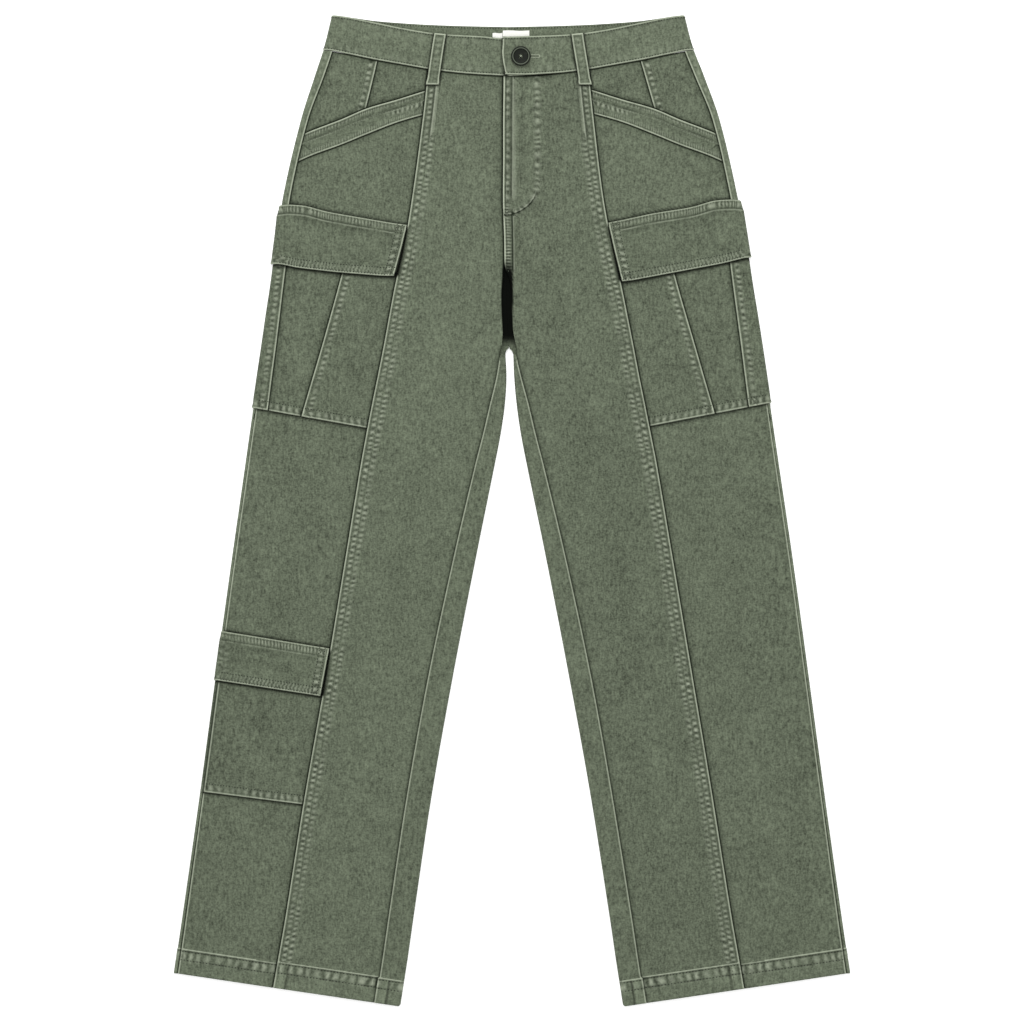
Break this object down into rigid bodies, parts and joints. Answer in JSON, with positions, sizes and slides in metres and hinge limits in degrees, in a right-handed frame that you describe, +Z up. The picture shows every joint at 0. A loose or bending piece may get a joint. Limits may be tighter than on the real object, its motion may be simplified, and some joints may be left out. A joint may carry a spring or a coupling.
{
  "type": "cargo trousers",
  "caption": "Wide-leg cargo trousers in washed green twill, laid flat, with slanted front pockets, thigh cargo pockets with flaps, a knee pocket and a buttoned waistband.",
  "frame": {"origin": "on the surface that the garment lies on, under the middle of its bounding box", "axes": "+Y runs up the garment from the hems to the waist, +X across it to the wearer's left leg, +Z up off the surface, out of the garment's front"},
  "size_m": [0.7096, 1.0401, 0.013],
  "materials": {
    "twill": "washed cotton twill, matt, worn paler along the seams",
    "label": "plain white woven label, blank",
    "button": "dark moulded button with a soft sheen"
  },
  "bodies": {
    "root": {"back_panel_right": "twill", "back_panel_left": "twill", "front_panel_right": "twill", "front_panel_left": "twill", "side_panel_right": "twill", "side_panel_left": "twill", "yoke_inner_right": "twill", "yoke_inner_left": "twill", "yoke_outer_right": "twill", "yoke_outer_left": "twill", "pocket_band_right": "twill", "pocket_band_left": "twill", "waistband_right": "twill", "waistband_left": "twill", "belt_loop_right": "twill", "belt_loop_left": "twill", "cargo_front_right": "twill", "cargo_front_left": "twill", "cargo_middle_right": "twill", "cargo_middle_left": "twill", "cargo_gusset_right": "twill", "cargo_gusset_left": "twill", "cargo_flap_right": "twill", "cargo_flap_left": "twill", "knee_pocket": "twill", "knee_flap": "twill", "label_main": "label", "label_tab": "label", "button": "button"}
  },
  "joints": []
}
